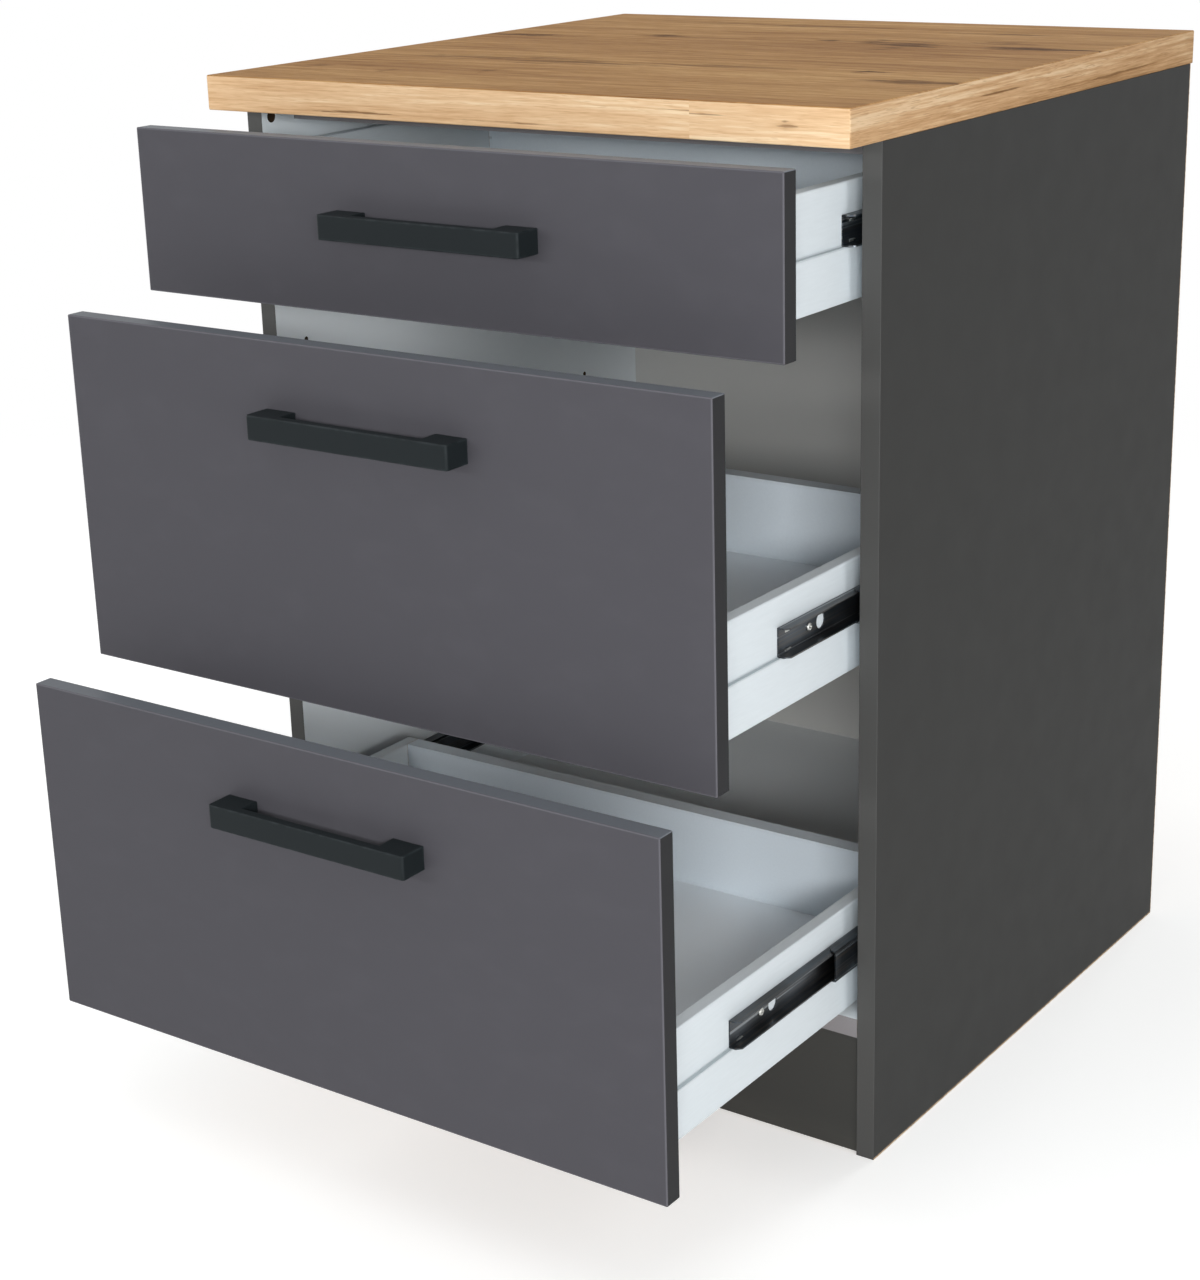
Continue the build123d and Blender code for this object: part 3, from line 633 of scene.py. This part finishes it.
def dress_carcass(steel, zinc, beech):
    """Finishes of the carcass, its fittings and the rails of the runners."""
    panel = side_panel_finish()
    for hand in HANDS:
        dress(f"side_panel_{hand}", panel)
    for board in ("bottom_panel", "top_rail_front", "top_rail_rear"):
        dress(board, light_board_finish(f"{board}_decor", *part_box(board)))
    dress("plinth", plinth_finish(*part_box("plinth")))
    dress("worktop", worktop_finish(*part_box("worktop")))
    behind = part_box("back_panel")[1].y - FOIL
    dress("back_panel", hardboard_finish("back_hardboard", REAR_LACQUER, lambda f: f.y > behind))
    dress("carcass_cam_bolts", zinc)
    dress("carcass_dowels", beech)
    for drawer in DRAWERS:
        for hand in HANDS:
            dress(f"{drawer}_runner_cabinet_rail_{hand}", steel)
            dress(f"{drawer}_runner_middle_rail_{hand}", steel)


def dress_drawer(drawer, steel, beech):
    """Finishes of one drawer."""
    finishes = {"front": front_finish, "handle": handle_finish, "side_left": drawer_foil_finish,
                "side_right": drawer_foil_finish, "back": drawer_foil_finish}
    for part, finish in finishes.items():
        node = f"{drawer}_drawer_{part}"
        dress(node, finish(f"{node}_finish", *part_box(node)))
    base = f"{drawer}_drawer_base"
    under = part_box(base)[0].z + FOIL
    dress(base, hardboard_finish(f"{base}_finish", BASE_LACQUER, lambda f: f.z < under))
    for hand in HANDS:
        dress(f"{drawer}_drawer_rail_{hand}", steel)
    dress(f"{drawer}_drawer_dowels", beech)


def mesh_piece(name, points, faces, material):
    """Object at the origin with the given mesh and finish, shaded smooth on its round parts."""
    mesh = bpy.data.meshes.new(name)
    mesh.from_pydata(points, [], faces)
    mesh.materials.append(material)
    mesh.polygons.foreach_set("use_smooth", np.ones(len(mesh.polygons), bool))
    mesh.set_sharp_from_angle(angle=SMOOTH_ANGLE)
    piece = bpy.data.objects.new(name, mesh)
    bpy.context.scene.collection.objects.link(piece)
    return piece


def closed_piece(name, shapes, material):
    """Mesh of closed shapes, each a grid of rings with a pole at either end.

    Neighbouring rings are joined by quads, and the first and last ring close on their pole by triangles.
    """
    points, faces, count = [], [], 0
    for rings, poles in shapes:
        copies, rows, columns = rings.shape[:3]
        number = np.arange(rows * columns).reshape(rows, columns)
        after = np.roll(number, -1, axis=1)
        quads = np.stack([number[:-1], number[1:], after[1:], after[:-1]], -1).reshape(-1, 4)
        start, end = np.full(columns, rows * columns), np.full(columns, rows * columns + 1)
        caps = np.concatenate([np.stack([start, number[0], after[0]], -1),
                               np.stack([end, after[-1], number[-1]], -1)])
        each = np.concatenate([rings.reshape(copies, -1, 3), poles], 1)
        shift = count + (np.arange(copies) * each.shape[1])[:, None, None]
        faces += (quads + shift).reshape(-1, 4).tolist() + (caps + shift).reshape(-1, 3).tolist()
        points += each.reshape(-1, 3).tolist()
        count += copies * each.shape[1]
    return mesh_piece(name, points, faces, material)


def turned(radius, height, angle):
    """Rings of a turned shape round +Z: radius and height for each row and angle, poles on the axis."""
    radius, height, angle = np.broadcast_arrays(radius, height, angle)
    rings = np.stack([radius * np.cos(angle), radius * np.sin(angle), height], -1)
    ends = np.array([[0, 0, height[0].mean()], [0, 0, height[-1].mean()]])
    return rings, ends


def placed(shape, centres, facing):
    """Copies of a shape: its +Z is turned to an axis, then it is moved to each centre."""
    rings, poles = shape
    third = np.array(facing, float)
    first = np.roll(third, 1)
    basis = np.stack([first, np.cross(third, first), third])
    centres = np.array(centres, float).reshape(-1, 1, 1, 3)
    return rings @ basis + centres, poles @ basis + centres[:, 0]


def on_both_sides(shape, places, outward):
    """Copies at places on the right and at their mirrored places on the left.

    They face away from the cabinet's middle where outward is 1, and towards it where it is -1.
    """
    return [placed(shape, [(side * x, y, z) for x, y, z in places], (side * outward, 0, 0))
            for side in HANDS.values()]


def round_angles():
    """Angles of a closed ring."""
    return np.linspace(0, 2 * np.pi, TURNED_COLUMNS, endpoint=False)[None]


def cross_recess(radius, angle, half_width, reach, depth):
    """Depth of a cross recess: deep where a point is near either bar's line and within its reach."""
    across = np.minimum(abs(radius * np.cos(angle)), abs(radius * np.sin(angle)))
    bar = np.clip((half_width - across) / (0.4 * half_width) + 0.5, 0, 1)
    end = np.clip((reach - radius) / (0.3 * reach) + 0.5, 0, 1)
    return depth * bar * end


def screw_shape(head, height, shank, length, pitch):
    """Pan-head screw round +Z with its seat at zero.

    The head is a flat dome, one minus half the fourth power of the radius, less a cross recess. Below
    the seat the shank's radius rises and falls with the height plus the angle, which gives a helix, and
    shrinks to a point at the end.
    """
    angle = round_angles()
    share = np.linspace(0.06, 1, 15)[:, None]
    top_radius = share * head / 2
    dome = height * (1 - 0.5 * share ** 4)
    top = dome - cross_recess(top_radius, angle, RECESS_HALF_WIDTH * head, SCREW_RECESS_REACH * head,
                              SCREW_RECESS_DEPTH * height)
    rim_radius = np.array([head / 2, 0.96 * head / 2, shank / 2])[:, None]
    rim = np.array([0.06 * height, 0.0, 0.0])[:, None]
    drop = np.linspace(0.0, length, int(6 * length / pitch))[1:, None]
    phase = (drop / pitch + angle / (2 * np.pi)) % 1
    ridge = np.clip(1.5 - 3 * abs(phase - 0.5), 0, 1)
    point = np.clip((length - drop) / (0.15 * length), 0.06, 1)
    radius = shank / 2 * (0.8 + 0.2 * ridge) * point
    whole = np.ones_like(angle)
    return turned(np.concatenate([top_radius * whole, rim_radius * whole, radius * whole]),
                  np.concatenate([top, rim * whole, -drop * whole]), angle)


def cam_shape(diameter, height):
    """Cam round +Z with its outer face at zero: a flat face with a cross recess, a chamfered rim and a
    drum that is pulled in on one side at mid height, where the bolt's head enters."""
    angle = round_angles()
    share = np.linspace(0.04, 0.94, 16)[:, None]
    face_radius = share * diameter / 2
    face = -cross_recess(face_radius, angle, RECESS_HALF_WIDTH * diameter, CAM_RECESS_REACH * diameter,
                         CAM_RECESS_DEPTH * height)
    whole = np.ones_like(angle)
    level = np.array([0.04, 0.30, 0.34, 0.66, 0.70, 0.96, 1.0])[:, None]
    mouth = ((level > 0.32) & (level < 0.68)) * np.clip(np.cos(angle) * 3 - 1.5, 0, 1)
    drum = diameter / 2 * (1 - 0.45 * mouth) * np.where(level > 0.98, 0.94, 1.0)
    return turned(np.concatenate([face_radius * whole, drum]),
                  np.concatenate([face, -level * height * whole]), angle)


def lug_shape(width, thickness, bend, reach):
    """Bent lug that starts on a rail's web and turns outwards: a rounded bar carried along a path.

    The path goes straight up along +Y, through a quarter circle and out along +Z. The section is a
    square-ish oval: cosine and sine taken to the power one half.
    """
    turn = np.linspace(0, np.pi / 2, 7)
    quarter = np.stack([bend - bend * np.cos(turn), bend * np.sin(turn) - bend], -1)
    path = np.concatenate([[[0, -2 * bend]], quarter, [[reach, 0]]])
    way = np.concatenate([[0.0], turn, [np.pi / 2]])[:, None]
    angle = np.linspace(0, 2 * np.pi, LUG_COLUMNS, endpoint=False)[None]
    side = width / 2 * np.sign(np.cos(angle)) * abs(np.cos(angle)) ** 0.5
    thick = thickness / 2 * np.sign(np.sin(angle)) * abs(np.sin(angle)) ** 0.5
    out = path[:, :1] - thick * np.cos(way)
    up = path[:, 1:] + thick * np.sin(way)
    rings = np.stack([side + 0 * out, up, out], -1)[::-1]
    return rings, rings[[0, -1]].mean(1)


def add_fitting(name, shapes, zinc, body, *nodes):
    """Adds a zinc-plated piece that rides on a body and stands for the named nodes."""
    piece = closed_piece(name, shapes, zinc)
    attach(piece, body)
    if nodes:
        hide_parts(*nodes)


def centre(node):
    """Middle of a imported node's box."""
    low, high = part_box(node)
    return (low + high) / 2


def cam_places(side):
    """Places of the cams on one side: along the bottom panel and in the two top rails."""
    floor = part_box("bottom_panel")[0].z
    bottom = [(side, row, floor) for row in BOTTOM_CAM_ROWS]
    rails = [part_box(f"top_rail_{end}") for end in ("front", "rear")]
    return bottom + [(side, low.y + RAIL_CAM_SHARE * (high.y - low.y), low.z) for low, high in rails]


def add_carcass_fittings(zinc):
    """Screws and cams of the carcass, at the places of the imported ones."""
    low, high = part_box("runner_screws")
    inset = RAIL_SCREW["head"] / 2
    levels = [centre(f"{drawer}_runner_cabinet_rail_left").z for drawer in DRAWERS]
    places = [(INNER - RAIL_STEEL, y, z) for y in (low.y + inset, high.y - inset) for z in levels]
    screws = on_both_sides(screw_shape(**RAIL_SCREW), places, -1)
    add_fitting("runner_screw_set", screws, zinc, "carcass", "runner_screws")

    low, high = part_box("worktop_screws")
    inset = WORKTOP_SCREW["head"] / 2
    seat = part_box("top_rail_front")[0].z
    places = [(x, y, seat) for x in (low.x + inset, high.x - inset) for y in (low.y + inset, high.y - inset)]
    screws = [placed(screw_shape(**WORKTOP_SCREW), places, (0, 0, -1))]
    add_fitting("worktop_screw_set", screws, zinc, "carcass", "worktop_screws")

    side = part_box("carcass_cams")[1].x - CAM_DIAMETER / 2
    cams = [placed(cam_shape(CAM_DIAMETER, CAM_HEIGHT), cam_places(hand * side), (0, 0, -1))
            for hand in HANDS.values()]
    add_fitting("carcass_cam_set", cams, zinc, "carcass", "carcass_cams")


def add_drawer_fittings(drawer, zinc):
    """Screws of a drawer's rails and handle, and the stop lugs of its rails."""
    body = f"{drawer}_drawer"
    node = f"{body}_rail_screws"
    low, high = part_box(node)
    inset = RAIL_SCREW["head"] / 2
    web = high.x - RAIL_SCREW["height"]
    places = [(web, y, centre(node).z) for y in (low.y + inset, high.y - inset)]
    screws = on_both_sides(screw_shape(**RAIL_SCREW), places, 1)
    add_fitting(f"{drawer}_rail_screw_set", screws, zinc, body, node)

    low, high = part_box(f"{body}_rail_right")
    levels = (high.z - LUG_INSET, low.z + LUG_INSET)
    places = [(low.x + RAIL_STEEL, low.y + LUG_SETBACK, z) for z in levels]
    lugs = on_both_sides(lug_shape(**LUG), places, 1)
    add_fitting(f"{drawer}_rail_lug_set", lugs, zinc, body)

    node = f"{body}_handle_screws"
    low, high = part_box(node)
    inset = HANDLE_SCREW["head"] / 2
    seat = high.y - HANDLE_SCREW["height"]
    places = [(x, seat, centre(node).z) for x in (low.x + inset, high.x - inset)]
    screws = [placed(screw_shape(**HANDLE_SCREW), places, (0, 1, 0))]
    add_fitting(f"{drawer}_handle_screw_set", screws, zinc, body, node)


def grid_piece(name, points, material):
    """Mesh of a grid of points, shape rows by columns by 3, as quads between neighbours."""
    rows, columns = points.shape[:2]
    number = np.arange(rows * columns).reshape(rows, columns)
    quads = np.stack([number[:-1, :-1], number[:-1, 1:], number[1:, 1:], number[1:, :-1]], -1)
    return mesh_piece(name, points.reshape(-1, 3).tolist(), quads.reshape(-1, 4).tolist(), material)


def make_floor():
    """Pale floor: a flat square that takes the shadow near the object and turns white further out."""
    f = Finish("pale_floor")
    pale, paler = [tone(code) for code in FLOOR_TONES]
    f.surface(Base_Color=f.mix(f.noise(f.point, 1.5, 2.0), pale, paler), Roughness=0.9,
              Specular_IOR_Level=0.1)
    seen = f.picture_rays()
    far = ((f.x * f.x + f.y * f.y) ** 0.5).rise(FLOOR_NEAR, FLOOR_FAR)
    none, glow, white = [f.node("ShaderNodeEmission", {}, {"Strength": s}) for s in (0.0, FLOOR_GLOW, 1.0)]
    shown = f.node("ShaderNodeMixShader", {}, {0: seen, 1: none, 2: glow})
    lit = f.node("ShaderNodeAddShader", {}, {0: Wire(f, f.shader.outputs[0]), 1: shown})
    f.plug(f.tree.nodes["Material Output"],
           {"Surface": f.node("ShaderNodeMixShader", {}, {0: far * seen, 1: lit, 2: white})})
    reach = np.linspace(-FLOOR_REACH, FLOOR_REACH, FLOOR_LINES)
    y, x = np.meshgrid(reach, reach, indexing="ij")
    grid_piece("floor", np.stack([x, y, np.full_like(x, -FLOOR_DROP)], -1), f.material)


def make_world():
    """Even sky: white behind the object, a soft fill on its surfaces."""
    world = bpy.data.worlds.new("studio")
    world.use_nodes = True
    bpy.context.scene.world = world
    sky = Nodes(world.node_tree)
    fill = sky.node("ShaderNodeBackground", {}, {"Color": tone(SKY), "Strength": AMBIENT})
    white = sky.node("ShaderNodeBackground", {}, {"Color": (1.0, 1.0, 1.0, 1.0)})
    shown = sky.node("ShaderNodeMixShader", {}, {0: sky.picture_rays(), 1: fill, 2: white})
    sky.plug(world.node_tree.nodes["World Output"], {"Surface": shown})


def softbox(name, place, aim, size, level):
    """Oblong area light; level is the share of a white card's brightness that it gives at its aim."""
    light = bpy.data.lights.new(name, "AREA")
    light.shape = "RECTANGLE"
    light.size, light.size_y = size
    way = Vector(aim) - Vector(place)
    light.energy = level * math.pi ** 2 * way.length_squared
    lamp = bpy.data.objects.new(name, light)
    lamp.location = place
    lamp.rotation_mode = "QUATERNION"
    lamp.rotation_quaternion = way.to_track_quat("-Z", "Y")
    bpy.context.scene.collection.objects.link(lamp)


def make_camera():
    """Camera at the photograph's angle, turned by yaw, pitch and roll from looking along +Y."""
    data = bpy.data.cameras.new("camera")
    data.sensor_width = SENSOR
    data.lens = FOCAL_PIXELS * SENSOR / PICTURE_LONG_SIDE
    camera = bpy.data.objects.new("camera", data)
    turn = Matrix.Rotation(CAMERA_YAW, 4, "Z") @ Matrix.Rotation(math.pi / 2 - CAMERA_PITCH, 4, "X")
    camera.matrix_world = Matrix.Translation(CAMERA_PLACE) @ turn @ Matrix.Rotation(CAMERA_ROLL, 4, "Z")
    bpy.context.scene.collection.objects.link(camera)
    bpy.context.scene.camera = camera


def main():
    steel, zinc, beech = runner_steel_finish(), zinc_finish(), beech_finish()
    dress_carcass(steel, zinc, beech)
    add_carcass_fittings(zinc)
    for drawer in DRAWERS:
        dress_drawer(drawer, steel, beech)
        add_drawer_fittings(drawer, zinc)
    make_floor()
    make_world()
    for name, settings in LAMPS.items():
        softbox(name, *settings)
    make_camera()
    bpy.context.scene.view_settings.view_transform = "Standard"


main()
